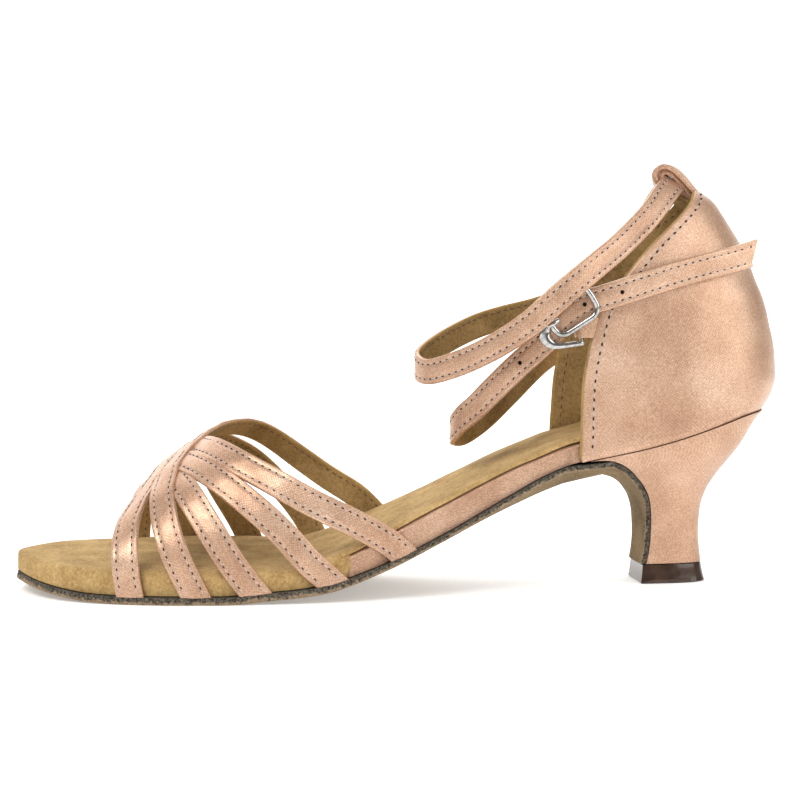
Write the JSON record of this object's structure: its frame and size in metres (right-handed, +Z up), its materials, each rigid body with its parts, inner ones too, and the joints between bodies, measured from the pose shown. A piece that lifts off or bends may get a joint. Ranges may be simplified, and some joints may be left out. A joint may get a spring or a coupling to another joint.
{
  "type": "ballroom dance shoe",
  "caption": "Open-toe ballroom dance shoe with crossed vamp straps, closed heel counter, curved heel and an ankle strap with a hook buckle.",
  "frame": {"origin": "middle of the shoe's bounding box at floor level", "axes": "+X from the toe to the heel, +Y to the inner (medial) side, +Z up from the floor"},
  "size_m": [0.2306, 0.0759, 0.1274],
  "materials": {
    "outsole_suede": "matte suede",
    "footbed_suede": "matte suede",
    "satin": "satin weave with a soft sheen",
    "tip_plastic": "glossy",
    "buckle_chrome": "polished"
  },
  "bodies": {
    "root": {"outsole": "outsole_suede", "footbed": "footbed_suede", "insole_board": "satin", "heel": "satin", "heel_tip": "tip_plastic", "counter": "satin", "vamp_straps": "satin", "ankle_strap": "satin", "buckle_frame": "buckle_chrome", "buckle_prong": "buckle_chrome", "buckle_hook": "buckle_chrome", "buckle_tab": "satin"}
  },
  "joints": []
}
